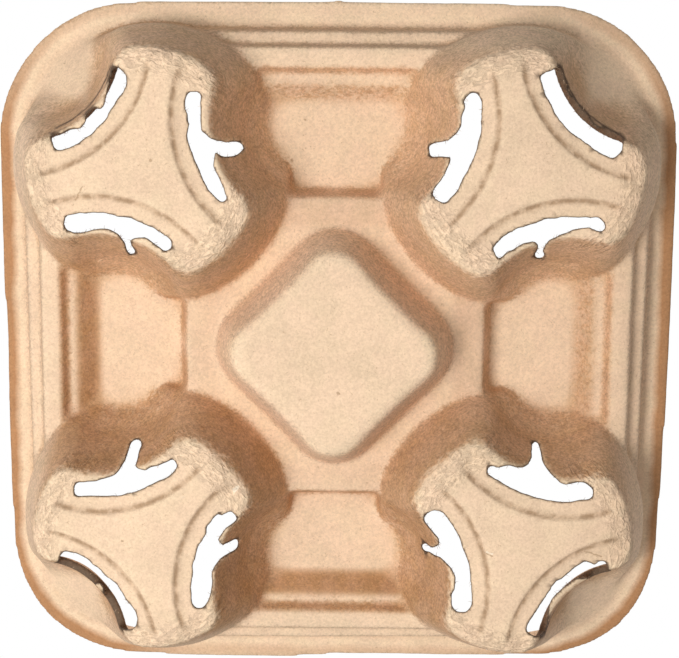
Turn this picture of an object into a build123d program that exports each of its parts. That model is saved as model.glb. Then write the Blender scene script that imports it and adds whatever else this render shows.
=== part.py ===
from build123d import *
import math
import os

# The carrier stands on its four star-shaped feet at z = 0 with its wells open upwards.
# X and Y run along the sides, Z runs up, and the origin is under the centre of the pocket.
# Heights and distances describe the upper skin; the lower skin lies one wall further out or down.

# Sheet and outline
wall = 1.8
tray_height = 40.0
side_half_length = 104.45
side_bow = 0.9
corner_radius = 42.4
overshoot = 5.0

# Land between the wells, as distance from the centre of the tray
step_high_top = 95.8
step_high_foot = 94.2
step_low_top = 90.2
step_low_foot = 89.2
ledge_foot = 85.8
ledge_outer = 84.6
ledge_inner = 80.9
pad_outer = 75.9
pad_inner = 46.9
band_outer = 44.4
land_half_width = 45.0
land_round = 0.9

# Heights of the land
tread_height = 31.8
land_height = 26.0
ledge_height = 29.8
pad_height = 35.3

# Cup wells: each section is (radius of the lobes, distance of the flaps, radius of the corners between,
# shift of the section towards the centre of the tray)
well_offset = 55.9
flap_axis = 50.5
waist_height = 26.0
foot_section = (31.2, 18.6, 4.6, 0.8)
waist_section = (40.5, 28.0, 6.0, 1.4)
rim_section = (41.0, 39.0, 7.0, 0.0)
# Where a well faces the tray's round corner, its flap leans back above the waist to follow the rim
facet_start = 27.7
facet_start_half_angle = 40
facet_top_radius = 35.6
facet_top_half_angle = 60
facet_root = 10.0

# Crests
crest_round = 2.6
crest_bite = 0.15
crest_angles = (0, 35, 62, 90)

# Foot of a well: the star that the carrier stands on is what three raised strips leave of the floor
strip_height = 3.1
strip_inner = 9.5
foot_round = 2.4

# Slots between the strips and the flaps
slot_inner = 15.5
slot_width = 5.2
slot_half_angle = 27.6
slot_top = 4.5
slot_corner = 0.9

# Splits torn up the flaps that face the pads, two for each well: shares of (root width, tip width, length)
split_root = 8.0
split_tip = 3.4
split_start = 18.0
split_length = 10.6
split_lean = 15.0
split_corner = 0.8
split_shares = (
    ((1.3, 0.9, 1.0), (0.9, 1.0, 1.02)),
    ((0.8, 0.9, 1.0), (1.0, 1.0, 1.0)),
    ((0.95, 1.3, 1.05), (0.7, 0.8, 0.92)),
    ((0.6, 0.8, 0.92), (0.9, 1.25, 1.0)),
)

# Centre pocket, set on its point: distances of the sharp points and of the hollow sides from the centre
pocket_floor = 7.3
pocket_point_top = 42.3
pocket_side_top = 20.5
pocket_corner_top = 13.7
pocket_point_floor = 32.9
pocket_side_floor = 15.3
pocket_corner_floor = 7.5
pocket_floor_round = 2.0


def polar(radius, angle):
    return Vector(radius * math.cos(math.radians(angle)), radius * math.sin(math.radians(angle)))


def arc_about(centre, start, end):
    """The short arc from start to end about a centre."""
    middle = ((start + end) / 2 - centre).normalized()
    return ThreePointArc(start, centre + middle * (start - centre).length, end)


def around(shape, count=4):
    return [Rot(0, 0, turn * 360 / count) * shape for turn in range(count)]


def tray_outline():
    """Square with large round corners and sides that bow slightly outwards."""
    straight = side_half_length - corner_radius
    left, right = (-straight, side_half_length), (straight, side_half_length)
    side = ThreePointArc(left, (0, side_half_length + side_bow), right)
    bend = arc_about(Vector(straight, straight), Vector(right), Vector(side_half_length, straight))
    return make_face([edge for line in (side, bend) for edge in around(line.edge())])


def lobed_outline(section, grow):
    """Three lobes about a centre, hollowed by three flap arcs, with a rounded corner between each two."""
    lobe, flap, corner, shift = section
    lobe_radius = lobe + grow
    flap_radius = flap_axis - flap - grow
    bend = corner + grow
    reach = lobe_radius - bend
    cosine = (reach**2 + flap_axis**2 - (flap_radius + bend) ** 2) / (2 * reach * flap_axis)
    spread = math.degrees(math.acos(cosine))
    edges = []
    for facing in (60, 180, 300):
        axis = polar(flap_axis, facing)
        first, last = polar(reach, facing - spread), polar(reach, facing + spread)
        flap_start = axis + (first - axis).normalized() * flap_radius
        flap_end = axis + (last - axis).normalized() * flap_radius
        lobe_end = polar(lobe_radius, facing - spread)
        lobe_start = polar(lobe_radius, facing + spread)
        edges.append(arc_about(first, lobe_end, flap_start))
        edges.append(arc_about(axis, flap_start, flap_end))
        edges.append(arc_about(last, flap_end, lobe_start))
        edges.append(arc_about(Vector(0, 0), lobe_start, polar(lobe_radius, facing + 120 - spread)))
    return Pos(shift, 0) * make_face(edges)


def well_outline(height, grow):
    """Section of a well at a height, on straight lines between its foot, waist and rim."""
    if height < waist_height:
        low, high = foot_section, waist_section
        share = (height - wall) / (waist_height - wall)
    else:
        low, high = waist_section, rim_section
        share = (height - waist_height) / (tray_height - waist_height)
    section = [start + share * (end - start) for start, end in zip(low, high)]
    return Pos(0, 0, height) * lobed_outline(section, grow)


def facet_outline(height, grow):
    """Section of the corner facet: a hollow arc of the flap that turns, with height, into the arc of the rim."""
    share = (height - waist_height) / (tray_height - waist_height)
    flap_centre = Vector(waist_section[3] - flap_axis, 0)
    rim_centre = Vector((well_offset - side_half_length + corner_radius) * math.sqrt(2), 0)
    points = []
    for turn in (1, 0, -1):
        low = flap_centre + polar(flap_axis - facet_start - grow, turn * facet_start_half_angle)
        high = rim_centre + polar(facet_top_radius + grow, 180 - turn * facet_top_half_angle)
        points.append(low + (high - low) * share)
    root = Vector(-facet_root, 0)
    bend = ThreePointArc(*points)
    return Pos(0, 0, height) * make_face([bend, Line(points[2], root), Line(root, points[0])])


def well(grow):
    """One cup well as the space above the skin, on its own centre, with three raised strips on its floor."""
    lowered = [Pos(0, 0, -grow) * well_outline(height, grow) for height in (wall, waist_height)]
    body = loft([*lowered, well_outline(tray_height, grow)], ruled=True)
    body = fillet(body.faces().sort_by(Axis.Z)[0].edges(), foot_round + grow)
    facet_foot = Pos(0, 0, -grow) * facet_outline(waist_height, grow)
    body += loft([facet_foot, facet_outline(tray_height, grow)], ruled=True)
    strip = Cylinder(flap_axis - strip_inner - grow, strip_height - wall, align=(Align.CENTER, Align.CENTER, Align.MIN))
    return body - [Rot(0, 0, facing) * Pos(flap_axis, 0, wall - grow) * strip for facing in (60, 180, 300)]


def crest(outline, height):
    """Rounding that widens a hollow, given by its sections, where it breaks through the skin at this height."""
    sections = []
    for angle in crest_angles:
        sine, cosine = math.sin(math.radians(angle)), math.cos(math.radians(angle))
        level = height - crest_round * (1 - sine)
        sections.append(outline(level, crest_round * (1 - cosine) - crest_bite))
    return loft(sections, ruled=True)


def in_wells(shape):
    """Copies in the four wells, turned so that one arm of each star points at the centre of the tray."""
    return around(Pos(well_offset, well_offset) * Rot(0, 0, 225) * shape)


def pocket_outline(point, side, corner):
    """Square set on its point, with sides that follow the wells and round corners."""
    sides = around(ThreePointArc((point, 0), (side, side), (0, point)).edge())
    return fillet(make_face(sides).vertices(), corner)


def pocket(grow):
    """The centre pocket as the space above the skin."""
    point, side = grow * math.sqrt(2), grow / math.sqrt(2)
    floor = pocket_outline(pocket_point_floor + point, pocket_side_floor + side, pocket_corner_floor + grow)
    top = pocket_outline(pocket_point_top + point, pocket_side_top + side, pocket_corner_top + grow)
    body = loft([Pos(0, 0, pocket_floor - grow) * floor, Pos(0, 0, land_height) * top], ruled=True)
    return fillet(body.faces().sort_by(Axis.Z)[0].edges(), pocket_floor_round + grow)


def land_profile(grow):
    """Cut through one side, above the skin: band by the pocket, pad, ledge, land and two steps to the rim."""
    top = tray_height + overshoot
    outline = Polyline(
        (0, top),
        (0, land_height),
        (band_outer, land_height),
        (pad_inner, pad_height),
        (pad_outer, pad_height),
        (ledge_inner, ledge_height),
        (ledge_outer, ledge_height),
        (ledge_foot, land_height),
        (step_low_foot, land_height),
        (step_low_top, tread_height),
        (step_high_foot, tread_height),
        (step_high_top, tray_height),
        (step_high_top, top),
        close=True,
    )
    face = make_face(outline)
    if grow:
        face = offset(face, grow, kind=Kind.INTERSECTION)
    bends = [bend for bend in face.vertices() if bend.Y < tray_height - wall and bend.X > wall]
    return fillet(bends, land_round)


def land(grow):
    """The lowered land of one side as the space above the skin; its ends lie inside the wells."""
    return Rot(0, 0, 90) * extrude(Rot(90, 0, 0) * land_profile(grow), land_half_width, both=True)


def under_skin(grow):
    """Everything under the upper skin (grow 0) or under the lower skin (grow one wall)."""
    base = -overshoot if grow else 0
    block = extrude(Pos(0, 0, base) * tray_outline(), tray_height - grow - base)
    return block - around(land(grow)) - in_wells(well(grow)) - pocket(grow)


def is_level(edge, height):
    return all(math.isclose((edge @ share).Z, height, abs_tol=wall / 1000) for share in (0, 0.5, 1))


def pocket_crest(body):
    """Edges round the top of the pocket."""
    at_land = [edge for edge in body.edges() if is_level(edge, land_height)]
    return [edge for edge in at_land if abs((edge @ 0.5).X) + abs((edge @ 0.5).Y) < pocket_point_top + wall]


def upper_skin():
    """Everything under the upper skin, with the crests of the wells and of the pocket rounded."""
    body = under_skin(0)
    body = fillet(pocket_crest(body), crest_round)
    tall = tray_height + overshoot
    band = Box(2 * band_outer, 2 * band_outer, tall, align=(Align.CENTER, Align.CENTER, Align.MIN))
    strip = Pos((pad_inner + ledge_inner) / 2, 0) * Box(ledge_inner - pad_inner, 2 * land_half_width, 2 * tall)
    band_wells = [flare & band for flare in in_wells(crest(well_outline, land_height))]
    pad_wells = [flare & pad for flare in in_wells(crest(well_outline, pad_height)) for pad in around(strip)]
    rim_wells = in_wells(crest(well_outline, tray_height) + crest(facet_outline, tray_height))
    return body - rim_wells - band_wells - pad_wells


def slot():
    """Curved slot between a foot strip and the flap over it, facing along X."""
    outer = flap_axis - slot_inner
    inner = outer - slot_width
    ring = Circle(outer) - Circle(inner)
    far = 2 * outer
    corners = [polar(far, 180 - slot_half_angle), (0, 0), polar(far, 180 + slot_half_angle)]
    sector = ring & make_face(Polyline(*corners, close=True))
    sector = fillet(sector.vertices(), slot_corner)
    return Pos(flap_axis, 0, -overshoot) * extrude(sector, slot_top + overshoot)


def split(side, shares):
    """Split that runs from the middle of a slot up its flap, square to the edge of the pad."""
    root, tip, length = split_root * shares[0] / 2, split_tip * shares[1] / 2, split_length * shares[2]
    tear = make_face(Polyline((0, -root), (length, -tip), (length, tip), (0, root), close=True))
    tear = fillet(tear.vertices(), split_corner)
    placed = Pos(split_start, 0) * Rot(0, 0, -side * split_lean) * tear
    return Rot(0, 0, side * 60) * extrude(placed, tray_height)


def cuts():
    """All slots and splits of the four wells."""
    slots = [Rot(0, 0, facing) * slot() for facing in (60, 180, 300)]
    found = [copy for each in slots for copy in in_wells(each)]
    for index, (low, high) in enumerate(split_shares):
        found.append(in_wells(split(1, low))[index])
        found.append(in_wells(split(-1, high))[index])
    return found


def tray():
    """The carrier: one pulp sheet between its upper and lower skins, slotted and split."""
    return upper_skin() - under_skin(wall) - cuts()


os.makedirs("parts", exist_ok=True)
export_step(tray(), "parts/tray.step")
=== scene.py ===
# %% [markdown]
# # A moulded-pulp drinks carrier
# The carrier is one sheet of paper pulp, pressed wet in a mould, dried hot and then slotted by a die.
# The photograph looks at its underside, so the camera stands below the part and looks up at it.
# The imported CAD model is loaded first. It fixes every size, and nothing below moves it.

# %% Load the frame
import math
import random
import bmesh
import bpy
from mathutils import Matrix, Vector


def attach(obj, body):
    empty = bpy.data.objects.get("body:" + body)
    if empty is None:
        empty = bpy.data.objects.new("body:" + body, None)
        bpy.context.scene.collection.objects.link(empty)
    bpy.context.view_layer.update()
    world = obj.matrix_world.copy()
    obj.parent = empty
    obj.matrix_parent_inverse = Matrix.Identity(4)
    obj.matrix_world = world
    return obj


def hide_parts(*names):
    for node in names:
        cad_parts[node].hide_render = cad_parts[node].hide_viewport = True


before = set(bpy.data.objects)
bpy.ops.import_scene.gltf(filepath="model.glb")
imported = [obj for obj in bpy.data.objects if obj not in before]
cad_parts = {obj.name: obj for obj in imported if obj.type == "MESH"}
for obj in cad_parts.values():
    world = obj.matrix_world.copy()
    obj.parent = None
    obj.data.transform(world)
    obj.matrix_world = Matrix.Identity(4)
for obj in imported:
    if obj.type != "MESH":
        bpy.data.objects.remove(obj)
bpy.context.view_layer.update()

cad_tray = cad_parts["tray"]
mm = 0.001

# %% [markdown]
# ## Camera
# The photograph was taken from about 39 cm away, a little to one side. Its place and its lens were
# worked out from the tray's own symmetry. A camera looks along its own -Z axis, so the three columns of
# its matrix are the picture's right, the picture's up, and the way back from the object to the lens.

# %% Put the camera where the photographer stood
camera_place = Vector((8.93, -63.62, -385.48)) * mm
camera_turn = (0.1407, 0.0189, 0.0096)
focal_pixels, picture_width, sensor_width = 1346.28, 679, 36.0

turn = Matrix.Rotation(Vector(camera_turn).length, 3, Vector(camera_turn).normalized())
picture_right, picture_down, into_picture = turn[0], turn[1], turn[2]
camera_matrix = Matrix((picture_right, -picture_down, -into_picture)).transposed().to_4x4()
camera_matrix.translation = camera_place
lens = bpy.data.cameras.new("photo_camera")
lens.sensor_width = sensor_width
lens.lens = focal_pixels * sensor_width / picture_width
lens.clip_start = 10 * mm
camera = bpy.data.objects.new("photo_camera", lens)
camera.matrix_world = camera_matrix
bpy.context.scene.collection.objects.link(camera)
bpy.context.scene.camera = camera
print("Lens:", round(lens.lens, 1), "mm, camera", round(-camera_place.z * 100, 1), "cm below the tray")

# %% [markdown]
# ## Helpers for node trees
# Geometry Nodes and shader nodes are built the same way in a script: add a node, set its options, and
# fill each input with a plain value or with another node's output. One helper does all three, and the
# others name the nodes that come up most: sums, products, vectors and smooth ramps.

# %% Helpers that place nodes
def put(tree, kind, inputs=None, **options):
    """Adds a node, sets its options, and gives its inputs values or links."""
    node = tree.nodes.new(kind)
    for option, value in options.items():
        setattr(node, option, value)
    for name, value in (inputs or {}).items():
        if isinstance(value, bpy.types.NodeSocket):
            tree.links.new(value, node.inputs[name])
        else:
            node.inputs[name].default_value = value
    return node


def maths(tree, operation, first, second=0.0, clamp=False):
    """A Math node's result."""
    return put(tree, "ShaderNodeMath", {0: first, 1: second}, operation=operation, use_clamp=clamp).outputs[0]


def times(tree, first, *others):
    """The product of several values."""
    for other in others:
        first = maths(tree, "MULTIPLY", first, other)
    return first


def plus(tree, first, *others):
    """The sum of several values."""
    for other in others:
        first = maths(tree, "ADD", first, other)
    return first


def vector(tree, operation, inputs, result=0):
    """A Vector Math node's result."""
    return put(tree, "ShaderNodeVectorMath", inputs, operation=operation).outputs[result]


def ramp(tree, value, low, high, start=0.0, end=1.0):
    """Runs smoothly from start to end while value goes from low to high."""
    inputs = {"Value": value, "From Min": low, "From Max": high, "To Min": start, "To Max": end}
    return put(tree, "ShaderNodeMapRange", inputs, interpolation_type="SMOOTHSTEP").outputs["Result"]


def new_tree(name, kind, inputs, outputs):
    """A node group with named inputs and outputs, and its two end nodes."""
    tree = bpy.data.node_groups.new(name, kind)
    for label, socket, value in inputs:
        made = tree.interface.new_socket(label, in_out="INPUT", socket_type=socket)
        if value is not None:
            made.default_value = value
    for label, socket in outputs:
        tree.interface.new_socket(label, in_out="OUTPUT", socket_type=socket)
    return tree, tree.nodes.new("NodeGroupInput"), tree.nodes.new("NodeGroupOutput")


def use_tree(piece, tree, values=None):
    """A Geometry Nodes modifier with its inputs set by the sockets' identifiers."""
    modifier = piece.modifiers.new(tree.name, "NODES")
    modifier.node_group = tree
    for item in tree.interface.items_tree:
        if item.item_type == "SOCKET" and item.in_out == "INPUT" and item.name in (values or {}):
            modifier[item.identifier] = values[item.name]
    return modifier


def settle(piece, name):
    """The plain mesh that a piece's modifiers make, with the modifiers taken off."""
    seen = piece.evaluated_get(bpy.context.evaluated_depsgraph_get())
    mesh = bpy.data.meshes.new_from_object(seen)
    mesh.name = name
    piece.modifiers.clear()
    piece.data = mesh
    return piece


def show(name, mesh):
    """An object with this mesh, linked into the scene."""
    piece = bpy.data.objects.new(name, mesh)
    bpy.context.scene.collection.objects.link(piece)
    return piece


# %% [markdown]
# ## The sheet, with its slots closed again
# The CAD solid has clean slots. The real ones are ragged, because the die tears wet fibre as much as it
# cuts it. A ragged edge needs spare material on both sides, so the slots are closed first: the upright
# walls of the cuts go, and each loop that they leave is filled, in a fixed order, so that every run fills
# them alike. The CAD mesh is loose triangles, so its doubles are merged before anything else.

# %% Where the wells and their flaps are
well_offset, flap_axis = 55.9, 50.5
well_places = {"a": (1, 1), "b": (-1, 1), "c": (-1, -1), "d": (1, -1)}
flap_lines = []
for along_x, along_y in well_places.values():
    centre = Vector((along_x, along_y)) * well_offset
    inward = math.atan2(-along_y, -along_x)
    for facing in (60, 180, 300):
        angle = inward + math.radians(facing)
        flap_lines.append((centre, Vector((math.cos(angle), math.sin(angle)))))
print("Flaps:", len(flap_lines))


# %% Find the walls of the cuts and close them
upright_limit = 0.02
slot_wall_top, slot_reach = 4.7, 35.4
split_wall_top, split_start, split_stop, split_half_width = 31.0, 16.0, 31.0, 6.8


def on_cut(face):
    """Whether an upright face is the wall of a slot or of a split."""
    if abs(face.normal.z) > upright_limit:
        return False
    place = face.calc_center_median() / mm
    for centre, way in flap_lines:
        local = place.to_2d() - centre
        along = local.dot(way)
        aside = (local - along * way).length
        in_slot = place.z < slot_wall_top and math.hypot(flap_axis - along, aside) < slot_reach
        in_split = split_start < along < split_stop and aside < split_half_width
        if along > 0 and (in_slot or in_split and place.z < split_wall_top):
            return True
    return False


def loop_from(edge, open_edges):
    """The corners of one open loop, in order."""
    first, at, last = edge.verts[0], edge.verts[1], edge
    ring = [first]
    open_edges.discard(edge)
    while at is not first:
        ring.append(at)
        last = next(other for other in at.link_edges if other in open_edges)
        open_edges.discard(last)
        at = last.other_vert(at)
    return ring


def closed_sheet(node):
    """A merged copy of the CAD sheet without its slots and splits."""
    grid = bmesh.new()
    grid.from_mesh(node.data)
    bmesh.ops.remove_doubles(grid, verts=grid.verts, dist=0.002 * mm)
    walls = [face for face in grid.faces if on_cut(face)]
    bmesh.ops.delete(grid, geom=walls, context="FACES")
    grid.edges.index_update()
    open_edges = {edge for edge in grid.edges if len(edge.link_faces) == 1}
    patches = []
    while open_edges:
        lowest = min(open_edges, key=lambda edge: edge.index)
        patches.append(grid.faces.new(loop_from(lowest, open_edges)))
    grid.normal_update()
    bmesh.ops.triangulate(grid, faces=patches, ngon_method="BEAUTY")
    bmesh.ops.recalc_face_normals(grid, faces=grid.faces)
    mesh = bpy.data.meshes.new("sheet")
    grid.to_mesh(mesh)
    grid.free()
    print("Cut walls removed:", len(walls), "- loops closed:", len(patches))
    return mesh


sheet = show("tray_sheet", closed_sheet(cad_tray))

# %% [markdown]
# ## The rim is not quite square
# Wet pulp shrinks unevenly as it dries, so the rim wanders by a millimetre or so. The table gives, for
# every fifteen degrees round the tray, how far the edge stands out from the ideal outline. A smooth curve
# through these values moves only what lies near the edge, and fades out towards the wells. The softening
# further down draws the thin rim in by about a millimetre, so the rim is spread by that much first.

# %% Let the rim wander
half_side, rim_corner = 105.0, 42.4
straight_side = half_side - rim_corner
rim_wander = (
    0.3, 0, -0.35, 1.2, -0.7, -1.35, -1.05, 0.85, 0.65, 1.3, -0.05, -0.05,
    -0.75, 0.5, 1.35, 0.3, 0.15, -0.45, -0.2, -0.65, 0.05, 0.6, 0.95, 0.6,
)
rim_spread = 0.95
rim_start, rim_full = 88.0, 99.0
spread_start, spread_full = 99.5, 103.5


def eased(value, low, high):
    """Runs smoothly from 0 to 1 while value goes from low to high."""
    share = min(max((value - low) / (high - low), 0.0), 1.0)
    return share * share * (3 - 2 * share)


def wander(angle):
    """Outward shift of the edge in millimetres, eased between the values of the table."""
    place = angle / (2 * math.pi) * len(rim_wander)
    step = math.floor(place)
    low, high = rim_wander[step % len(rim_wander)], rim_wander[(step + 1) % len(rim_wander)]
    return low + (high - low) * eased(place - step, 0.0, 1.0)


def edge_distance(x, y):
    """How far out a point lies, on the scale of the side's own distance from the centre."""
    beyond = Vector((max(abs(x) - straight_side, 0), max(abs(y) - straight_side, 0)))
    return straight_side + beyond.length


furthest = 0.0
for vertex in sheet.data.vertices:
    x, y = vertex.co.x / mm, vertex.co.y / mm
    out = edge_distance(x, y)
    if out > rim_start:
        push = wander(math.atan2(y, x) % (2 * math.pi)) * eased(out, rim_start, rim_full)
        push += rim_spread * eased(out, spread_start, spread_full)
        vertex.co += Vector((x, y, 0)).normalized() * push * mm
        furthest = max(furthest, abs(push))
print("The rim moves by up to", round(furthest, 2), "mm")

# %% [markdown]
# ## Ragged cuts
# Each cut is drawn as the die and the tearing left it: points in millimetres from the centre of its well,
# on the ground, the corner slot first, then the two that open towards the pads and run up a flap in a tear.
# Every list becomes a cutter, and a Boolean takes all twelve out of the sheet. An upright cutter would show
# its cut walls to the camera, so the sides of each one run along the camera's lines of sight instead. The
# tears reach far up their flaps. The corner slots have none, so their cutters stop a centimetre up.

# %% Outlines of the torn cuts
torn_cuts = {
    "a": (
        (
            (18.9, 3.6), (22.2, 4.8), (23.3, 3.5), (25.1, 3.5), (26.2, 6.7), (25.3, 7.7), (22.9, 8.3),
            (17, 8.7), (12.4, 12.2), (9.7, 15.1), (8.9, 17), (7.8, 24.8), (6.7, 26.1), (6.7, 26.8),
            (5.7, 27.1), (2.7, 25.9), (2.3, 24.8), (2.9, 23), (10.8, 9.6), (12.1, 9.5), (15.8, 5.8),
        ),
        (
            (-25.1, -11.3), (-23.2, -10.7), (-20.2, -6.8), (-18, -2.7), (-15.2, 5), (-14, 17),
            (-14.6, 18.7), (-15.8, 19.7), (-17.6, 19.7), (-19.2, 19.1), (-19.9, 17.7), (-20.2, 14.4),
            (-19.1, 12.9), (-18.9, 9.1), (-20.4, 6), (-23.6, 2.9), (-25.1, 2.6), (-27.1, 1.1),
            (-27.6, 1.3), (-27.8, 2.3), (-29, 0.2), (-29, -2.1), (-26.1, 0.2), (-23.8, -0.9),
            (-24.4, -3.1), (-28.6, -8.1), (-28.3, -10.1),
        ),
        (
            (2.3, -32.4), (3.2, -32.4), (4.5, -31.5), (5.5, -26.7), (6.7, -24.4), (11, -20),
            (12.5, -19.4), (15.8, -20.4), (18.7, -20.1), (20.6, -18.5), (20.7, -16.1), (20, -15.4),
            (13.7, -14.4), (10.4, -14.4), (3.9, -15.5), (-0.8, -17.2), (-10.4, -22.3), (-10.4, -24.4),
            (-9.8, -25.1), (-7.4, -24.2), (-4, -25.2), (-2.2, -24.6), (0.2, -24.6), (1.7, -25.6),
            (2.6, -27.9),
        ),
    ),
    "b": (
        (
            (-23.2, 2.7), (-19.3, 3.6), (-16.1, 5.4), (-15.5, 6.6), (-13.8, 7.5), (-10.8, 10.8),
            (-7.8, 13.1), (-6, 16.5), (-3, 20.5), (-2.2, 22.6), (-2.2, 25.5), (-4.1, 26.8), (-6, 26.8),
            (-9.3, 23.4), (-9.6, 20.9), (-11.9, 15), (-11.9, 13.8), (-12.9, 12.4), (-15, 12.4),
            (-18.8, 10), (-24.9, 8.7), (-24.6, 7.6), (-25.7, 6.9), (-24.2, 3.1),
        ),
        (
            (22.8, -10.1), (23.3, -8.7), (26.1, -10.2), (28.2, -8.3), (27.3, -7), (24.7, -5.2),
            (22.2, -1.5), (23.5, 0.2), (27.9, -2), (28.4, -1.9), (28.4, -1.3), (27.9, 1.2),
            (23.3, 4.1), (21.3, 6.5), (20.4, 8.4), (20.4, 12.7), (19.5, 16.6), (18.1, 19.6),
            (15.4, 19.7), (14.5, 18.4), (14.2, 13.1), (14.8, 9.6), (14.8, 5.9), (15.4, 5), (16.4, 0.7),
            (18.1, -1.7), (18.2, -2.6), (18.7, -2.7), (19.1, -3.9), (18.8, -4.9),
        ),
        (
            (-1.6, -31.6), (-0.7, -31.6), (-0, -30.3), (-2.1, -23.7), (-1.7, -22.9), (1, -22),
            (1.9, -22.9), (7.5, -24.8), (8.6, -26), (9.6, -25.3), (10.5, -23.5), (7.8, -20.4),
            (2.1, -17.8), (-1.2, -16), (-6.6, -14.6), (-19.3, -14.3), (-20.2, -14.6), (-19.8, -18.1),
            (-14, -18.7), (-8.7, -20.4), (-7.5, -21.3), (-6.6, -22.3), (-4.7, -26), (-3.1, -30.7),
        ),
    ),
    "c": (
        (
            (-6.7, -27), (-5.5, -27.1), (-3, -24.5), (-3, -22.8), (-3.9, -20.6), (-8.2, -14.7),
            (-9.1, -12.6), (-13.6, -8.1), (-16.2, -6.6), (-17, -5.5), (-17.9, -5.5), (-19.3, -4.7),
            (-21.9, -3.8), (-23.7, -3.8), (-24.8, -7.2), (-24.4, -7.9), (-21.6, -8.2), (-20.1, -9.3),
            (-16.3, -9.7), (-14.7, -11.8), (-14.7, -13.5), (-12.6, -15.6), (-11.7, -15.9),
            (-11.4, -15.3), (-10.6, -15.3), (-9.6, -16),
        ),
        (
            (16.7, -20.3), (17.6, -20), (18.2, -19.1), (17.7, -17.8), (18, -9.5), (19.3, -8.8),
            (20.3, -7.5), (22.4, -6.6), (25.2, -6.1), (29, -6.6), (30.1, -4.9), (30.1, -4.3),
            (27.8, -2.5), (23.5, -2.2), (22.3, -3.6), (21.9, -3.4), (21.3, 0.6), (23.9, 5.9),
            (25.4, 10), (24.6, 10.5), (23.4, 10.5), (19.9, 7.1), (14.8, -4.7), (14, -8.1),
            (14.8, -11.3), (14.1, -12.3), (14.4, -14), (13.5, -15.9), (13.5, -18), (14.2, -20),
        ),
        (
            (-16.9, 14.2), (-9.9, 14.1), (-5.3, 15.2), (-2.6, 15.3), (5, 18.8), (9.4, 22), (9.1, 23.2),
            (9.9, 23.7), (7.5, 25), (1.6, 20.9), (-1.3, 21.1), (-2.7, 21.8), (-2.6, 22.3),
            (-1.9, 22.4), (-2.4, 22.7), (-0.8, 25.6), (-2.9, 26), (-4.4, 22.2), (-6.4, 19.8),
            (-8.8, 18.6), (-11.1, 18.4), (-16.4, 19.8), (-18.6, 19.8), (-21.6, 19), (-21.2, 15.1),
        ),
    ),
    "d": (
        (
            (6.8, -28), (7.8, -26.8), (9.7, -20.2), (14.9, -15.5), (16.5, -12.1), (18.6, -10.9),
            (21.2, -10.8), (25.5, -8), (25.4, -4.6), (23.2, -2.6), (19.7, -4), (10.4, -10.4),
            (7.4, -13.5), (3.3, -20.7), (1.5, -25.4),
        ),
        (
            (-17.2, -20.9), (-15.7, -20.6), (-14.5, -18.6), (-14.5, -10.2), (-16.1, -3.4),
            (-20.7, 6.5), (-23.8, 10.2), (-25, 10.2), (-27.7, 8.4), (-28.2, 7.6), (-24.4, 2.3),
            (-23, -1.2), (-23, -2.8), (-28.6, -2.7), (-29, -3.1), (-29.1, -6.2), (-23.9, -7.2),
            (-21.2, -9.3), (-20.1, -11.3), (-20.1, -13.6), (-18.9, -16.6), (-19.7, -18.3),
        ),
        (
            (9.2, 14), (19.8, 14.2), (21.3, 15.7), (21.4, 17.1), (20.2, 18.1), (16.9, 16.7),
            (12.8, 17.4), (5.7, 20.5), (3.7, 23.6), (4.6, 25.1), (4.2, 26), (1.3, 25.4), (2.6, 22.7),
            (2.6, 22), (1.2, 20.9), (-1.7, 21.5), (-5, 23.8), (-5.9, 23.8), (-8, 26.1), (-8.7, 26.1),
            (-10.5, 23.2), (-8, 20.2), (-3.5, 17.3), (1.1, 16.1), (4.1, 14.6), (6.9, 14.6),
        ),
    ),
}


# %% Make the cutters
random.seed(7)
corner_slot_tops = {"a": 11.0, "b": 11.0, "c": 8.5, "d": 8.5}
split_top, under = 30.0, -5.0
fray, fray_step = 0.16, 0.9


def frayed(points):
    """Adds uneven points between the drawn ones, as fibres leave them."""
    ring = []
    for start, end in zip(points, points[1:] + points[:1]):
        run = Vector(end) - Vector(start)
        steps = max(1, round(run.length / fray_step))
        aside = Vector((-run.y, run.x)).normalized()
        for step in range(steps):
            push = random.uniform(-fray, fray) if step else 0
            ring.append(Vector(start) + run * step / steps + aside * push)
    return ring


def in_sight(point, height):
    """Where the line from the lens through a point of the ground is at a height, in metres."""
    eye = camera_place / mm
    ground = point.to_3d()
    return (eye + (ground - eye) * (height - eye.z) / -eye.z) * mm


def add_cutter(grid, centre, points, top):
    """A cutter from below the feet to the given height, with its sides along the lines of sight."""
    low = [grid.verts.new(in_sight(centre + point, under)) for point in points]
    high = [grid.verts.new(in_sight(centre + point, top)) for point in points]
    grid.faces.new(low[::-1])
    grid.faces.new(high)
    for index, corner in enumerate(low):
        following = (index + 1) % len(low)
        grid.faces.new((corner, low[following], high[following], high[index]))


knives = bmesh.new()
for well, outlines in torn_cuts.items():
    centre = Vector(well_places[well]) * well_offset
    for number, outline in enumerate(outlines):
        add_cutter(knives, centre, frayed(outline), split_top if number else corner_slot_tops[well])
bmesh.ops.triangulate(knives, faces=knives.faces, ngon_method="EAR_CLIP")
knife_mesh = bpy.data.meshes.new("cutters")
knives.to_mesh(knife_mesh)
knives.free()
cutters = show("cutters", knife_mesh)
cutters.hide_render = True
print("Cutters:", len(knife_mesh.polygons), "faces")

# %% [markdown]
# ## From a clean solid to a pulp surface
# A mould gives pulp no sharp corner, so the solid is rebuilt from small cubes, called voxels, and its
# points are averaged with their neighbours a few times. That rounds the crests. The cutters then go through
# it, and a second rebuild gives the torn edges as many points as the rest.

# %% Where things are, measured in the trees themselves
flap_directions = (45, 165, 285)


def position_mm(tree, node="GeometryNodeInputPosition"):
    """A point's place in millimetres, as a vector."""
    place = put(tree, node).outputs["Object" if node == "ShaderNodeTexCoord" else 0]
    return vector(tree, "SCALE", {0: place, "Scale": 1 / mm})


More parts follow.
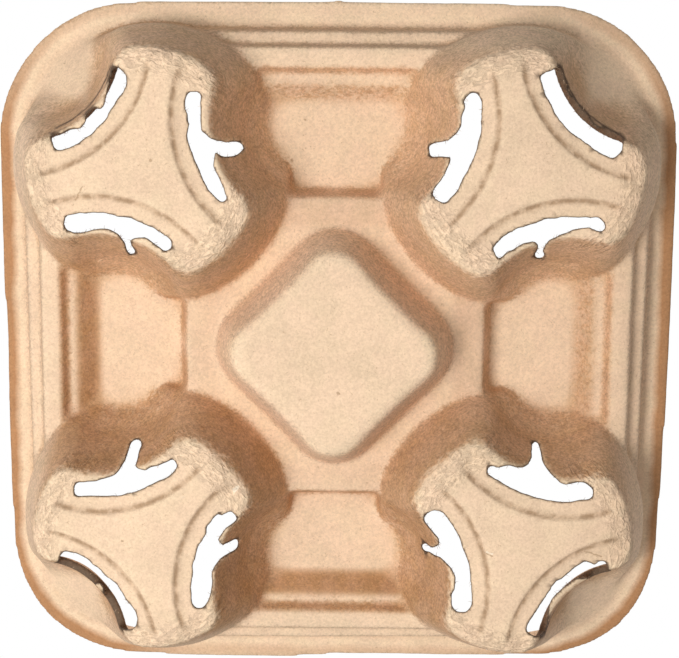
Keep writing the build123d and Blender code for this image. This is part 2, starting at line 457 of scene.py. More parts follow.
def length_of(tree, values):
    """The length of a flat vector given by its two parts."""
    squares = [maths(tree, "MULTIPLY", value, value) for value in values]
    return maths(tree, "SQRT", maths(tree, "ADD", *squares))


def in_one_well(tree, place):
    """All four wells folded onto one: sideways offsets from its centre, distance from it, and height."""
    parts = put(tree, "ShaderNodeSeparateXYZ", {0: place}).outputs
    across = [maths(tree, "SUBTRACT", maths(tree, "ABSOLUTE", value), well_offset) for value in parts[:2]]
    return across, length_of(tree, across), parts[2]


def from_nearest_flap(tree, across):
    """Distance from the upright axis of the nearest of the well's three flaps."""
    nearest = None
    for facing in flap_directions:
        angle = math.radians(facing)
        axis = (flap_axis * math.cos(angle), flap_axis * math.sin(angle))
        gap = length_of(tree, [maths(tree, "SUBTRACT", value, at) for value, at in zip(across, axis)])
        nearest = gap if nearest is None else maths(tree, "MINIMUM", nearest, gap)
    return nearest


# %% A small tree that softens
soften, start, end = new_tree(
    "soften_crests",
    "GeometryNodeTree",
    [
        ("Geometry", "NodeSocketGeometry", None),
        ("Passes", "NodeSocketInt", 6),
        ("Floor Share", "NodeSocketFloat", 0.25),
    ],
    [("Geometry", "NodeSocketGeometry")],
)
across, from_well, height = in_one_well(soften, position_mm(soften))
on_floor = times(soften, ramp(soften, height, 3.0, 2.2), ramp(soften, from_well, 28.0, 26.0))
full_to_floor = maths(soften, "SUBTRACT", start.outputs["Floor Share"], 1.0)
weight = plus(soften, times(soften, on_floor, full_to_floor), 1.0)
here = put(soften, "GeometryNodeInputPosition").outputs[0]
blurred = put(soften, "GeometryNodeBlurAttribute", {"Weight": weight}, data_type="FLOAT_VECTOR")
soften.links.new(here, blurred.inputs["Value"])
soften.links.new(start.outputs["Passes"], blurred.inputs["Iterations"])
moved = put(soften, "GeometryNodeSetPosition", {"Geometry": start.outputs["Geometry"]})
soften.links.new(blurred.outputs[0], moved.inputs["Position"])
soften.links.new(moved.outputs[0], end.inputs["Geometry"])
print("soften_crests:", len(soften.nodes), "nodes")

# %% [markdown]
# The pulp's skin is a rule, so Geometry Nodes make it. Long swells come from uneven drying, lumps from
# clots of fibre, and grain from the wire mesh of the mould. Round the feet, the sheet was pulled hard as it
# was pressed, and it crinkled. Each is a noise that pushes the surface along its normal, and each has its
# own size and depth as a named input.

# %% A tree that gives the sheet its skin
strip_line = 39.4
skin, start, end = new_tree(
    "pulp_skin",
    "GeometryNodeTree",
    [
        ("Geometry", "NodeSocketGeometry", None),
        ("Swell Depth", "NodeSocketFloat", 0.16),
        ("Swell Size", "NodeSocketFloat", 15.0),
        ("Lump Depth", "NodeSocketFloat", 0.10),
        ("Lump Size", "NodeSocketFloat", 4.0),
        ("Grain Depth", "NodeSocketFloat", 0.06),
        ("Grain Size", "NodeSocketFloat", 1.4),
        ("Crinkle Depth", "NodeSocketFloat", 0.5),
        ("Crinkle Size", "NodeSocketFloat", 2.6),
        ("Pleat Depth", "NodeSocketFloat", 0.14),
        ("Pleat Size", "NodeSocketFloat", 1.9),
        ("Line Depth", "NodeSocketFloat", 0.5),
        ("Line Width", "NodeSocketFloat", 0.9),
        ("Seed", "NodeSocketFloat", 3.0),
    ],
    [("Geometry", "NodeSocketGeometry")],
)
place = position_mm(skin)
across, from_well, height = in_one_well(skin, place)


def bumpy(size, detail, drift=0.0):
    """A noise from -1 to 1."""
    scale = maths(skin, "DIVIDE", 1.0, start.outputs[size])
    seed = plus(skin, start.outputs["Seed"], drift)
    inputs = {"Vector": place, "W": seed, "Scale": scale, "Detail": detail}
    noise = put(skin, "ShaderNodeTexNoise", inputs, noise_dimensions="4D").outputs[0]
    return times(skin, maths(skin, "SUBTRACT", noise, 0.5), 2.0)


def deep(depth, value, where=1.0):
    """A push of the given depth, where the mask is."""
    return times(skin, value, where, start.outputs[depth])


# %% The feet: crinkles and pleats round the edge, and the line of each strip
waviness = 2.2
at_edge = times(skin, ramp(skin, from_well, 26.0, 29.5), ramp(skin, from_well, 36.0, 31.5))
foot_edge = times(skin, at_edge, ramp(skin, height, 9.0, 1.0))
wavy = plus(skin, from_well, times(skin, bumpy("Crinkle Size", 1.0, 5.0), waviness))
turns = times(skin, maths(skin, "DIVIDE", wavy, start.outputs["Pleat Size"]), 2 * math.pi)
pleats = maths(skin, "SINE", turns)
off_line = maths(skin, "SUBTRACT", from_nearest_flap(skin, across), strip_line)
off_line = maths(skin, "ABSOLUTE", off_line)
line = ramp(skin, maths(skin, "DIVIDE", off_line, start.outputs["Line Width"]), 1.0, 0.1)
on_floor = times(skin, ramp(skin, height, 2.8, 2.0), ramp(skin, from_well, 29.0, 26.0))
uneven = ramp(skin, bumpy("Lump Size", 1.0, 9.0), -0.6, 0.1, 0.35, 1.0)
line = times(skin, line, on_floor, uneven)

# %% All of it together, along the normal
outward = put(skin, "GeometryNodeInputNormal").outputs[0]
upward = put(skin, "ShaderNodeSeparateXYZ", {0: outward}).outputs[2]
facing_down = ramp(skin, upward, 0.15, -0.10)
total = plus(
    skin,
    deep("Swell Depth", bumpy("Swell Size", 1.0)),
    deep("Lump Depth", bumpy("Lump Size", 2.0)),
    deep("Grain Depth", bumpy("Grain Size", 2.0)),
    deep("Crinkle Depth", bumpy("Crinkle Size", 2.0), foot_edge),
    deep("Pleat Depth", pleats, foot_edge),
    times(skin, deep("Line Depth", line, facing_down), -1.0),
)
offset = vector(skin, "SCALE", {0: outward, "Scale": times(skin, total, mm)})
inputs = {"Geometry": start.outputs["Geometry"], "Offset": offset}
moved = put(skin, "GeometryNodeSetPosition", inputs)
skin.links.new(moved.outputs[0], end.inputs["Geometry"])
print("pulp_skin:", len(skin.nodes), "nodes")

# %% [markdown]
# The material needs to know where the sheet is steep, where it is proud or hollow, where it was cut, and
# where the line of a foot strip runs: it paints shade on steep walls, in hollows, on cut edges and along the
# strip lines, and a highlight on proud edges. Four attributes carry that. Steepness comes from the normal,
# the ridge value from how far a point stands out from the average of its neighbourhood, and the cut edge from
# the distance to the cutters.

# %% A tree that marks the surface
marks, start, end = new_tree(
    "surface_marks",
    "GeometryNodeTree",
    [
        ("Geometry", "NodeSocketGeometry", None),
        ("Cutters", "NodeSocketObject", None),
        ("Reach", "NodeSocketInt", 5),
        ("Edge Width", "NodeSocketFloat", 0.45),
        ("Corner Shadow Extra", "NodeSocketFloat", 0.9),
    ],
    [("Geometry", "NodeSocketGeometry")],
)
across, from_well, height = in_one_well(marks, position_mm(marks))
outward = put(marks, "GeometryNodeInputNormal").outputs[0]
upright = maths(marks, "ABSOLUTE", put(marks, "ShaderNodeSeparateXYZ", {0: outward}).outputs[2])
inputs = {"Value": maths(marks, "SUBTRACT", 1.0, upright), "Iterations": 2}
steep = put(marks, "GeometryNodeBlurAttribute", inputs)
here = put(marks, "GeometryNodeInputPosition").outputs[0]
around = put(marks, "GeometryNodeBlurAttribute", data_type="FLOAT_VECTOR")
marks.links.new(here, around.inputs["Value"])
marks.links.new(start.outputs["Reach"], around.inputs["Iterations"])
stands = vector(marks, "SUBTRACT", {0: here, 1: around.outputs[0]})
proud = vector(marks, "DOT_PRODUCT", {0: stands, 1: outward}, "Value")
inputs = {"Value": maths(marks, "DIVIDE", proud, mm), "Iterations": 1}
proud = put(marks, "GeometryNodeBlurAttribute", inputs)
tools = put(marks, "GeometryNodeObjectInfo", {"Object": start.outputs["Cutters"]}).outputs["Geometry"]
near = put(marks, "GeometryNodeProximity", {"Geometry": tools}, target_element="FACES")
to_cut = maths(marks, "DIVIDE", near.outputs["Distance"], mm)
# The mark of the cut is wider up the walls of the corner flaps, for the painted shadow seen there through the
# slot.
in_corner_flap = ramp(marks, plus(marks, *across), 20.0, 24.0)
inside_wall = times(marks, ramp(marks, height, 3.0, 4.5), in_corner_flap)
extra = times(marks, inside_wall, start.outputs["Corner Shadow Extra"])
width = plus(marks, start.outputs["Edge Width"], extra)
cut = ramp(marks, maths(marks, "DIVIDE", to_cut, width), 1.0, 0.4)
off_line = maths(marks, "SUBTRACT", from_nearest_flap(marks, across), strip_line)
off_line = maths(marks, "ABSOLUTE", off_line)
on_floor = times(marks, ramp(marks, height, 2.8, 2.0), ramp(marks, from_well, 30.0, 27.0))
line = times(marks, ramp(marks, off_line, 1.25, 0.2), on_floor)
shape = start.outputs["Geometry"]
values = {"steep": steep.outputs[0], "ridge": proud.outputs[0], "cut": cut, "line": line}
for label, value in values.items():
    stored = put(marks, "GeometryNodeStoreNamedAttribute", {"Geometry": shape, "Name": label})
    marks.links.new(value, stored.inputs["Value"])
    shape = stored.outputs[0]
marks.links.new(shape, end.inputs["Geometry"])
print("surface_marks:", len(marks.nodes), "nodes")

# %% Rebuild, soften, cut, rebuild, roughen, thin
voxel, most_faces = ((0.68, 190000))


def rebuild(name):
    modifier = sheet.modifiers.new(name, "REMESH")
    modifier.mode = "VOXEL"
    modifier.voxel_size = voxel * mm


rebuild("rebuild_sheet")
use_tree(sheet, soften, {"Passes": 7})
boolean = sheet.modifiers.new("cut", "BOOLEAN")
boolean.object = cutters
boolean.operation = "DIFFERENCE"
boolean.solver = "MANIFOLD"
rebuild("rebuild_cut_edges")
use_tree(sheet, soften, {"Passes": 1, "Floor Share": 1.0})
use_tree(sheet, skin)
settle(sheet, "tray_sheet")
count = sum(len(face.vertices) - 2 for face in sheet.data.polygons)
print("Sheet after the skin:", count, "triangles")

# %% Thin the mesh and mark it
thin = sheet.modifiers.new("thin", "DECIMATE")
thin.ratio = min(1.0, most_faces / count)
use_tree(sheet, marks, {"Cutters": cutters})
settle(sheet, "tray_sheet")
sheet.data.shade_smooth()
bpy.data.objects.remove(cutters)
print("Sheet:", len(sheet.data.polygons), "faces, marks", [a.name for a in sheet.data.attributes])

# %% [markdown]
# ## The pulp material
# Four groups of nodes make the finish, and each puts out only masks and values. One has the speckle of dark
# and light fibres. One has the zones of the sheet: the toasting, where the hot press scorched the rim; the
# painted shade that the walls have from place to place, partly the pulp's own browning; the painted shade on
# the ends of the pads and on the band round the pocket; and the painted highlight on the rim's crest. One has
# the wrinkles round the feet, whose light and shade are also painted into the colour, and the last one the
# few flakes, scratches and specks of this very carrier. They read Object coordinates, so they stay with the
# part.

# %% A group for the fibre grain
grain, start, end = new_tree(
    "fibre_grain",
    "ShaderNodeTree",
    [("Size", "NodeSocketFloat", 0.72)],
    [(label, "NodeSocketFloat") for label in ("Tone", "Height", "Fleck", "Pale")],
)
place = position_mm(grain, "ShaderNodeTexCoord")
scale = maths(grain, "DIVIDE", 1.0, start.outputs["Size"])


def noise(tree, place, scale, detail, distortion=0.0):
    """A noise from 0 to 1, in features of about 1/scale millimetres."""
    inputs = {"Vector": place, "Scale": scale, "Detail": detail, "Distortion": distortion}
    return put(tree, "ShaderNodeTexNoise", inputs).outputs[0]


fine = noise(grain, place, scale, 3.0, 0.6)
coarse = noise(grain, place, times(grain, scale, 0.28), 2.0, 1.5)
tone = plus(grain, times(grain, fine, 0.65), times(grain, coarse, 0.35))
grain.links.new(tone, end.inputs["Tone"])
grain.links.new(tone, end.inputs["Height"])
specks = ramp(grain, noise(grain, place, 1.3, 1.0, 1.0), 0.70, 0.75)
strands = ramp(grain, noise(grain, place, 0.75, 2.0, 2.5), 0.69, 0.75)
grain.links.new(maths(grain, "MAXIMUM", specks, strands), end.inputs["Fleck"])
drift = vector(grain, "ADD", {0: place, 1: (37.0, 11.0, 5.0)})
grain.links.new(ramp(grain, noise(grain, drift, 0.9, 2.0, 2.5), 0.68, 0.74), end.inputs["Pale"])

# %% A group for the zones of the sheet
# Each row of four numbers is a band: it begins, is full, starts to fade and is gone, in millimetres from
# the tray's middle, or from a well's for the last row.
# The band of the rim's crest, where a highlight is painted.
rim_crest_highlight = (98.6, 99.8, 100.6, 101.8)
pad_slope, ledge_slope = (72.6, 75.6, 79.4, 82.0), (82.0, 83.4, 84.6, 86.0)
pocket_band = (34.0, 39.0, 46.0, 50.0)
foot_ring = (26.5, 28.5, 32.0, 36.0)
zone_names = ("Toast", "Crest", "Pad End", "Outer", "Band", "Facet", "Pocket", "Foot Edge", "Rise", "Deep")
zones, start, end = new_tree(
    "sheet_zones",
    "ShaderNodeTree",
    [("Toast Start", "NodeSocketFloat", 100.7), ("Toast Full", "NodeSocketFloat", 103.0)],
    [(label, "NodeSocketFloat") for label in zone_names],
)
place = position_mm(zones, "ShaderNodeTexCoord")
x, y = put(zones, "ShaderNodeSeparateXYZ", {0: place}).outputs[:2]
sides = [maths(zones, "ABSOLUTE", value) for value in (x, y)]
reach, aside = maths(zones, "MAXIMUM", *sides), maths(zones, "MINIMUM", *sides)
beyond = [maths(zones, "SUBTRACT", value, straight_side) for value in sides]
beyond = [maths(zones, "MAXIMUM", value, 0.0) for value in beyond]
out = plus(zones, length_of(zones, beyond), straight_side)
uneven = maths(zones, "SUBTRACT", noise(zones, place, 0.11, 3.0), 0.5)
out_uneven = plus(zones, out, times(zones, uneven, 2.4))


def tilt(base, per_x, per_y):
    """A value that changes steadily across the tray, kept between 0 and 1."""
    slanted = plus(zones, times(zones, x, per_x), times(zones, y, per_y))
    return maths(zones, "ADD", slanted, base, clamp=True)


def between(value, rise, full, fade, none):
    """A band that rises to 1 and fades again."""
    return times(zones, ramp(zones, value, rise, full), ramp(zones, value, none, fade))


def without(mask):
    """The rest of a mask."""
    return maths(zones, "SUBTRACT", 1.0, mask)


# %% The toasted rim, the painted highlight on its crest, and the painted shade on the slopes at the ends of the pads
toast_share = maths(zones, "ADD", tilt(-0.1, 0.0, 0.0043), ramp(zones, sides[0], 45.0, 85.0), clamp=True)
toast_share = times(zones, toast_share, ramp(zones, y, -100.0, -60.0, 0.35, 1.0))
inputs = {
    "Value": out_uneven,
    "From Min": start.outputs["Toast Start"],
    "From Max": start.outputs["Toast Full"],
}
toast = times(zones, put(zones, "ShaderNodeMapRange", inputs).outputs["Result"], toast_share)
# Painted shade on the slopes at the ends of the pads, strongest at -X and +Y, where the slopes face away from
# the lamp.
pad_end = plus(zones, between(reach, *pad_slope), times(zones, between(reach, *ledge_slope), 0.6))
pad_end = times(zones, pad_end, ramp(zones, aside, 31.0, 24.0), tilt(0.68, -0.0032, 0.0064))

# %% Painted shade on the walls, less of it on the corner facets, painted shade on the band round the pocket and the far side, and the feet
# Where the walls take painted shade: darker on the north walls at -X, lighter and greyer on the outer walls,
# lighter in the pocket, deeper towards +Y and -X, and little of it low down by the feet.
north = times(zones, ramp(zones, y, -70.0, -85.0), tilt(0.35, -0.008, 0.0))
outer = times(zones, ramp(zones, out, 82.0, 92.0), without(north))
facet = times(zones, ramp(zones, aside, 72.0, 77.0), ramp(zones, out, 100.5, 98.5))
# Painted shade on the band round the pocket, stronger towards +X and -Y, and on the far side of the tray at
# +X, away from the lamp.
by_pocket = times(zones, between(reach, *pocket_band), ramp(zones, aside, 24.0, 14.0))
by_pocket = times(zones, by_pocket, tilt(0.55, 0.005, -0.005))
far_side = times(zones, ramp(zones, x, 68.0, 88.0, 0.0, 0.32), without(facet))
across, from_well, height = in_one_well(zones, place)
foot_edge = times(zones, between(from_well, *foot_ring), ramp(zones, height, 10.0, 3.0))
ragged_foot = maths(zones, "SUBTRACT", noise(zones, place, 0.6, 4.0), 0.5)
lifted = plus(zones, height, times(zones, ragged_foot, 9.0))
masks = {
    "Toast": toast,
    "Crest": between(out_uneven, *rim_crest_highlight),
    "Pad End": pad_end,
    "Outer": outer,
    "Band": maths(zones, "MAXIMUM", by_pocket, far_side),
    "Facet": facet,
    "Pocket": ramp(zones, plus(zones, *sides), 54.0, 46.0),
    "Foot Edge": foot_edge,
    "Rise": ramp(zones, lifted, 0.8, 5.0, 0.12, 1.0),
    "Deep": tilt(0.45, -0.004, 0.012),
}
for label, mask in masks.items():
    zones.links.new(mask, end.inputs[label])
print("Zones:", ", ".join(masks))

# %% A group for the wrinkles round the feet
# The noise reads the distance from the well's middle and the turn round it, so the wrinkles follow the
# edge, and the quarter of the tray, so that no two wells have the same ones.
wrinkles, start, end = new_tree(
    "foot_wrinkles",
    "ShaderNodeTree",
    [("Size", "NodeSocketFloat", 1.3), ("Turns", "NodeSocketFloat", 11.0)],
    [("Wave", "NodeSocketFloat")],
)
place = position_mm(wrinkles, "ShaderNodeTexCoord")
across, from_well, height = in_one_well(wrinkles, place)
quarter = vector(wrinkles, "SIGN", {0: place})
quarter = vector(wrinkles, "DOT_PRODUCT", {0: quarter, 1: (5.0, 11.0, 0.0)}, "Value")
turned = times(wrinkles, maths(wrinkles, "ARCTAN2", across[1], across[0]), start.outputs["Turns"])
outwards = maths(wrinkles, "DIVIDE", from_well, start.outputs["Size"])
flow = put(wrinkles, "ShaderNodeCombineXYZ", {0: outwards, 1: turned, 2: quarter}).outputs[0]
wave = ramp(wrinkles, noise(wrinkles, flow, 1.0, 3.0, 1.2), 0.36, 0.64, -1.0, 1.0)
on_foot = times(wrinkles, ramp(wrinkles, from_well, 24.0, 28.0), ramp(wrinkles, from_well, 38.0, 33.0))
on_foot = times(wrinkles, on_foot, ramp(wrinkles, height, 14.0, 5.0))
wrinkles.links.new(times(wrinkles, wave, on_foot), end.inputs["Wave"])
print("foot_wrinkles:", len(wrinkles.nodes), "nodes")

# %% A group for the marks of this one carrier
# Each mark is (from x, y to x, y, half width) in millimetres on the underside, drawn as a short stroke.
pale_marks = ((-28.9, 39.7, -27.9, 38.8, 0.45), (46.0, 57.2, 47.6, 57.8, 0.12))
dark_marks = (
    (-74.2, -45.5, -72.1, -49.2, 0.1), (74.9, 56.7, 79.9, 58.4, 0.1), (46.0, 57.7, 47.5, 58.3, 0.1),
    (-9.9, -69.1, -9.7, -69.0, 0.2), (-13.9, -56.8, -13.8, -56.6, 0.2), (18.5, -58.0, 18.7, -57.9, 0.2),
    (-52.5, -57.0, -52.4, -56.8, 0.25), (1.3, 10.8, 1.8, 11.0, 0.2), (-62.2, 55.3, -62.0, 55.4, 0.2),
)
scars, start, end = new_tree(
    "small_marks",
    "ShaderNodeTree",
    [("Softness", "NodeSocketFloat", 0.25)],
    [("Pale", "NodeSocketFloat"), ("Dark", "NodeSocketFloat")],
)
place = position_mm(scars, "ShaderNodeTexCoord")
flat = vector(scars, "MULTIPLY", {0: place, 1: (1.0, 1.0, 0.0)})
wobble = times(scars, maths(scars, "SUBTRACT", noise(scars, place, 1.1, 2.0), 0.5), 0.9)


def stroke(mark):
    """A mask that is 1 on a short stroke and fades over the softness."""
    first, last, half = Vector((*mark[:2], 0)), Vector((*mark[2:4], 0)), mark[4]
    run = last - first
    local = vector(scars, "SUBTRACT", {0: flat, 1: first})
    along = vector(scars, "DOT_PRODUCT", {0: local, 1: run / run.length_squared}, "Value")
    along = maths(scars, "ADD", along, 0.0, clamp=True)
    nearest = vector(scars, "SCALE", {0: run, "Scale": along})
    gap = plus(scars, vector(scars, "DISTANCE", {0: local, 1: nearest}, "Value"), wobble)
    gap = maths(scars, "SUBTRACT", gap, half)
    return ramp(scars, maths(scars, "DIVIDE", gap, start.outputs["Softness"]), 1.0, 0.0)


for label, drawn in (("Pale", pale_marks), ("Dark", dark_marks)):
    total = 0.0
    for mark in drawn:
        total = maths(scars, "MAXIMUM", stroke(mark), total)
    scars.links.new(total, end.inputs[label])
print("Marks:", len(pale_marks), "pale,", len(dark_marks), "dark")

# %% The colours of the pulp
pale_pulp = (0.86, 0.635, 0.43, 1)
# Painted shade on the steep walls, partly the pulp's own browning, in four colours for different parts of the
# tray.
wall_browning_and_shade = (0.62, 0.385, 0.22, 1)
deep_wall_browning_and_shade = (0.50, 0.285, 0.145, 1)
outer_wall_browning_and_shade = (0.70, 0.495, 0.325, 1)
pocket_wall_browning_and_shade = (0.74, 0.52, 0.35, 1)
hollow_shade = (0.66, 0.42, 0.24, 1)
pad_end_shade = (0.50, 0.28, 0.134, 1)
toasted = (0.45, 0.21, 0.085, 1)
painted_highlight = (0.92, 0.75, 0.50, 1)
band_shade = (0.66, 0.43, 0.27, 1)
cut_edge_shadow = (0.09, 0.055, 0.035, 1)
crease_shade = (0.42, 0.27, 0.16, 1)
dark_fibre = (0.40, 0.25, 0.14, 1)
light_fibre = (0.95, 0.80, 0.62, 1)
rosy_pulp = (0.90, 0.56, 0.44, 1)
print("Flat pulp:", pale_pulp, "wall:", wall_browning_and_shade)


# %% The pulp material itself
# The colours lie over each other in layers, from the flat pulp up to the painted shadow on the edge of a cut.
# Each layer has a share, which is a mask from a group, an attribute or a noise. Then the fibres make it
# lighter and darker, and the wrinkles add painted light and shade.
def blend(tree, share, first, second):
    """A Mix node for two colours."""
    node = put(tree, "ShaderNodeMix", data_type="RGBA")
    for index, value in ((0, share), (6, first), (7, second)):
        if isinstance(value, bpy.types.NodeSocket):
            tree.links.new(value, node.inputs[index])
        else:
            node.inputs[index].default_value = value
    return node.outputs[2]


def pulp_material(name):
    """The whole finish of the sheet and of its torn fibres."""
    material = bpy.data.materials.new(name)
    material.use_nodes = True
    tree = material.node_tree
    shader = tree.nodes["Principled BSDF"]

    def mark(label):
        return put(tree, "ShaderNodeAttribute", attribute_name=label).outputs["Fac"]

    def group(made):
        return put(tree, "ShaderNodeGroup", node_tree=made).outputs

    fibres, zone, scar, wave = group(grain), group(zones), group(scars), group(wrinkles)["Wave"]
    ridge = mark("ridge")
    where = position_mm(tree, "ShaderNodeTexCoord")
    patches = ramp(tree, noise(tree, where, 0.13, 3.0), 0.35, 0.65, 0.0, 0.12)
    broken = ramp(tree, noise(tree, where, 0.35, 3.0), 0.35, 0.6, 0.4, 1.0)
    # Painted shade in the grooves of the strip lines, and along thin crinkle lines round the feet.
    strip_line_shade = times(tree, mark("line"), times(tree, broken, 0.95))
    vein = maths(tree, "SUBTRACT", noise(tree, where, 0.42, 3.0, 1.2), 0.5)
    vein = maths(tree, "ABSOLUTE", vein)
    crinkle_line_shade = times(tree, ramp(tree, vein, 0.030, 0.006), zone["Foot Edge"], 0.35)

    slope_browning_and_shade = blend(tree, zone["Deep"], wall_browning_and_shade, deep_wall_browning_and_shade)
    slope_browning_and_shade = blend(tree, zone["Outer"], slope_browning_and_shade, outer_wall_browning_and_shade)
    slope_browning_and_shade = blend(tree, zone["Pocket"], slope_browning_and_shade, pocket_wall_browning_and_shade)
    ragged = ramp(tree, noise(tree, where, 0.7, 3.0, 0.8), 0.3, 0.7, -0.13, 0.13)
    slope_shade_share = ramp(tree, plus(tree, mark("steep"), ragged), 0.06, 0.46)
    off_facet = maths(tree, "SUBTRACT", 1.0, times(tree, zone["Facet"], 0.95))
    slope_shade_share = times(tree, slope_shade_share, off_facet, zone["Rise"])

    layers = (
        # Painted shade on the steep walls, partly the pulp's own browning; the corner facets get little of
        # it.
        (slope_shade_share, slope_browning_and_shade),
        # Painted shade on the band round the pocket and on the far side.
        (times(tree, zone["Band"], 0.75), band_shade),
        # Painted shade on the slopes at the ends of the pads.
        (zone["Pad End"], pad_end_shade),
        # Painted shade in hollows, where the sheet lies below its neighbourhood.
        (ramp(tree, ridge, -0.05, -0.40, 0.0, 0.65), hollow_shade),
        # Painted highlights on proud edges and on the rim's crest.
        (ramp(tree, ridge, 0.06, 0.40, 0.0, 0.35), painted_highlight),
        (times(tree, zone["Crest"], 0.2), painted_highlight),
        (patches, rosy_pulp),
        (times(tree, fibres["Fleck"], 0.42), dark_fibre),
        (times(tree, fibres["Pale"], 0.35), light_fibre),
        (times(tree, zone["Toast"], 0.9), toasted),
        # Painted shade in the strip grooves and along the crinkles.
        (strip_line_shade, crease_shade),
        (crinkle_line_shade, crease_shade),
        (times(tree, scar["Pale"], 0.8), light_fibre),
        (times(tree, scar["Dark"], 0.6), dark_fibre),
        # Painted shadow on the cut edges, darkest at the cut.
        (times(tree, mark("cut"), 0.92), cut_edge_shadow),
    )
    colour = pale_pulp
    for share, over in layers:
        colour = blend(tree, share, colour, over)

    grainy = plus(tree, times(tree, slope_shade_share, 0.16), 0.11)
    grained = times(tree, ramp(tree, fibres["Tone"], 0.3, 0.7, -1.0, 1.0), grainy)
    mottled = ramp(tree, noise(tree, where, 0.07, 3.0), 0.3, 0.7, -0.04, 0.04)
    # The wrinkles round the feet also lighten and darken the colour: painted light and shade on them.
    brightness = plus(tree, grained, mottled, times(tree, wave, 0.13), 1.0)
    tinted = put(tree, "ShaderNodeHueSaturation", {"Color": colour, "Value": brightness})
    tree.links.new(tinted.outputs[0], shader.inputs["Base Color"])
    shader.inputs["Roughness"].default_value = 0.92
    shader.inputs["Specular IOR Level"].default_value = 0.2
    raised = plus(tree, fibres["Height"], times(tree, wave, 0.9))
    bump = put(tree, "ShaderNodeBump", {"Height": raised, "Strength": 0.6, "Distance": 0.25 * mm})
    tree.links.new(bump.outputs[0], shader.inputs["Normal"])
    return material


pulp = pulp_material("moulded_pulp")
sheet.data.materials.clear()
sheet.data.materials.append(pulp)
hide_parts("tray")
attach(sheet, "root")
print("Material:", pulp.name, "with", len(pulp.node_tree.nodes), "nodes")

# %% [markdown]
# ## Torn fibres
# The die leaves short fibres standing out of every cut. They are scattered by a rule, so they are Geometry
# Nodes again: points on the surface wherever the "cut" mark is strong, a small bent cone on each, turned and
# scaled at random from a fixed seed. Realize Instances makes them a real mesh, which the export needs.

# %% A tree that grows them
tip_share, steepest_lean = 0.3, 1.2
smallest, largest, size_seed = 0.4, 1.3, 9
darkest_shade = 0.7
torn, start, end = new_tree(
    "torn_fibres",
    "GeometryNodeTree",
    [
        ("Geometry", "NodeSocketGeometry", None),
        ("Per Square Millimetre", "NodeSocketFloat", 0.16),
        ("Length", "NodeSocketFloat", 0.9),
        ("Thickness", "NodeSocketFloat", 0.14),
        ("Curl", "NodeSocketFloat", 0.4),
        ("Seed", "NodeSocketInt", 4),
        ("Material", "NodeSocketMaterial", None),
    ],
    [("Geometry", "NodeSocketGeometry")],
)


def random_number(low, high, seed):
    """A random number for each point."""
    inputs = {2: low, 3: high, "Seed": seed}
    return put(torn, "FunctionNodeRandomValue", inputs, data_type="FLOAT").outputs[1]


cut_mark = put(torn, "GeometryNodeInputNamedAttribute", {"Name": "cut"}, data_type="FLOAT")
on_cut_edge = ramp(torn, cut_mark.outputs["Attribute"], 0.4, 0.9, 0.0, 1 / mm**2)
density = times(torn, start.outputs["Per Square Millimetre"], on_cut_edge)
inputs = {"Mesh": start.outputs["Geometry"], "Density": density, "Seed": start.outputs["Seed"]}
points = put(torn, "GeometryNodeDistributePointsOnFaces", inputs).outputs
shade = random_number(0.0, darkest_shade, start.outputs["Seed"])
inputs = {"Geometry": points["Points"], "Name": "cut", "Value": shade}
shaded = put(torn, "GeometryNodeStoreNamedAttribute", inputs).outputs[0]

# %% One strand: a thin cone that bends over
length = times(torn, start.outputs["Length"], mm)
radius = times(torn, start.outputs["Thickness"], 0.5 * mm)
inputs = {
    "Vertices": 3,
    "Side Segments": 3,
    "Radius Top": times(torn, radius, tip_share),
    "Radius Bottom": radius,
    "Depth": length,
}
strand = put(torn, "GeometryNodeMeshCone", inputs).outputs["Mesh"]
here = put(torn, "GeometryNodeInputPosition").outputs[0]
along = put(torn, "ShaderNodeSeparateXYZ", {0: here}).outputs[2]
bend = maths(torn, "POWER", maths(torn, "DIVIDE", along, length), 2.0)
bend = times(torn, bend, times(torn, length, start.outputs["Curl"]))
aside = put(torn, "ShaderNodeCombineXYZ", {0: bend}).outputs[0]
strand = put(torn, "GeometryNodeSetPosition", {"Geometry": strand, "Offset": aside}).outputs[0]

# %% A strand on every point, leaning and sized at random
furthest_lean = (steepest_lean, steepest_lean, math.pi)
inputs = {0: [-turn for turn in furthest_lean], 1: furthest_lean}
lean = put(torn, "FunctionNodeRandomValue", inputs, data_type="FLOAT_VECTOR").outputs[0]
inputs = {0: points["Rotation"], 1: lean}
turned = put(torn, "FunctionNodeRotateRotation", inputs, rotation_space="LOCAL").outputs[0]
size = random_number(smallest, largest, size_seed)
inputs = {"Points": shaded, "Instance": strand, "Rotation": turned, "Scale": size}
placed = put(torn, "GeometryNodeInstanceOnPoints", inputs).outputs[0]
whole = put(torn, "GeometryNodeRealizeInstances", {"Geometry": placed}).outputs[0]
inputs = {"Geometry": whole, "Material": start.outputs["Material"]}
finished = put(torn, "GeometryNodeSetMaterial", inputs).outputs[0]
torn.links.new(finished, end.inputs["Geometry"])
print("torn_fibres:", len(torn.nodes), "nodes")

# %% Grow them on a copy of the sheet, and keep only the fibres
fibres = show("torn_fibres", sheet.data.copy())
use_tree(fibres, torn, {"Material": pulp})
settle(fibres, "torn_fibres")
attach(fibres, "root")
print("Torn fibres:", len(fibres.data.polygons), "faces")

# %% [markdown]
# ## Floor and light
# The carrier stands on a pale floor, but the camera looks up through it. So the floor is one-sided: from
# below, and for the light that comes from below, it is not there. From above it is a plain pale floor that
# keeps the carrier's shadow and fades out with distance, so that its end doesn't show. The photo's light is
# one soft lamp below, near the camera and a little to the left. Two lamps above are for the views from
# there. The world looks white, but gives less light.

# %% A one-sided floor
floor_radius, below_feet = 3.0, 0.3 * mm
fade_start, fade_end = 0.35, 1.2


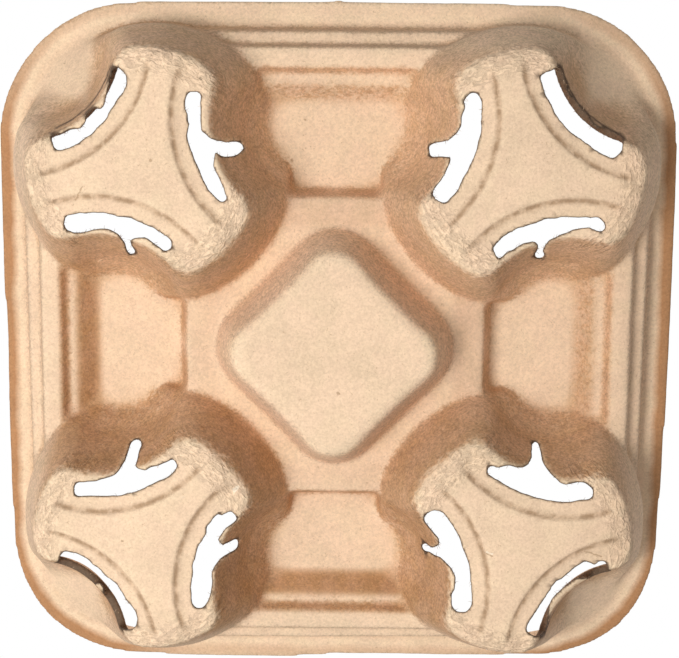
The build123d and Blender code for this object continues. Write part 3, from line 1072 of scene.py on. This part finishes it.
def floor_material():
    """A pale floor that is there only from above and near the tray."""
    material = bpy.data.materials.new("pale_floor")
    material.use_nodes = True
    tree = material.node_tree
    shader = tree.nodes["Principled BSDF"]
    shader.inputs["Base Color"].default_value = (0.86, 0.86, 0.85, 1)
    shader.inputs["Roughness"].default_value = 0.9
    shader.inputs["Specular IOR Level"].default_value = 0.1
    rays = put(tree, "ShaderNodeLightPath").outputs
    from_below = put(tree, "ShaderNodeNewGeometry").outputs["Backfacing"]
    unseen = maths(tree, "MAXIMUM", rays["Is Shadow Ray"], rays["Is Diffuse Ray"])
    gone = maths(tree, "MAXIMUM", from_below, unseen)
    place = put(tree, "ShaderNodeTexCoord").outputs["Object"]
    far_out = ramp(tree, vector(tree, "LENGTH", {0: place}, "Value"), fade_start, fade_end)
    gone = maths(tree, "MAXIMUM", gone, far_out)
    clear = put(tree, "ShaderNodeBsdfTransparent").outputs[0]
    mixed = put(tree, "ShaderNodeMixShader", {0: gone, 1: shader.outputs[0], 2: clear})
    tree.links.new(mixed.outputs[0], tree.nodes["Material Output"].inputs["Surface"])
    return material


floor_grid = bmesh.new()
bmesh.ops.create_circle(floor_grid, cap_ends=True, segments=96, radius=floor_radius)
floor_mesh = bpy.data.meshes.new("floor")
floor_grid.to_mesh(floor_mesh)
floor_grid.free()
floor_mesh.materials.append(floor_material())
for vertex in floor_mesh.vertices:
    vertex.co.z = -below_feet
floor = show("floor", floor_mesh)
print("Floor faces up:", floor_mesh.polygons[0].normal.z > 0)


# %% Lamps and world
def lamp(name, place, power, size):
    """A soft square lamp that looks at the tray."""
    light = bpy.data.lights.new(name, "AREA")
    light.size = size
    light.energy = power
    piece = bpy.data.objects.new(name, light)
    piece.location = place
    piece.rotation_euler = (Vector((0, 0, 0.02)) - piece.location).to_track_quat("-Z", "Y").to_euler()
    bpy.context.scene.collection.objects.link(piece)


lamp("key_below", (-0.29, 0.06, -0.62), 3.7, 0.26)
lamp("key_above", (-0.45, -0.35, 0.75), 6.0, 0.45)
lamp("fill_above", (0.55, 0.30, 0.60), 1.5, 0.60)

world = bpy.data.worlds.new("studio")
world.use_nodes = True
bpy.context.scene.world = world
tree = world.node_tree
rays = put(tree, "ShaderNodeLightPath").outputs
seen = maths(tree, "MAXIMUM", rays["Is Glossy Ray"], rays["Is Transmission Ray"])
seen = maths(tree, "MAXIMUM", rays["Is Camera Ray"], seen)
ambient, white = 0.37, 1.0
background = tree.nodes["Background"]
background.inputs["Color"].default_value = (1, 1, 1, 1)
strength = plus(tree, times(tree, seen, white - ambient), ambient)
tree.links.new(strength, background.inputs["Strength"])
bpy.context.scene.view_settings.view_transform = "Standard"
print("Lamps:", len(bpy.data.lights), "- ambient light", ambient)
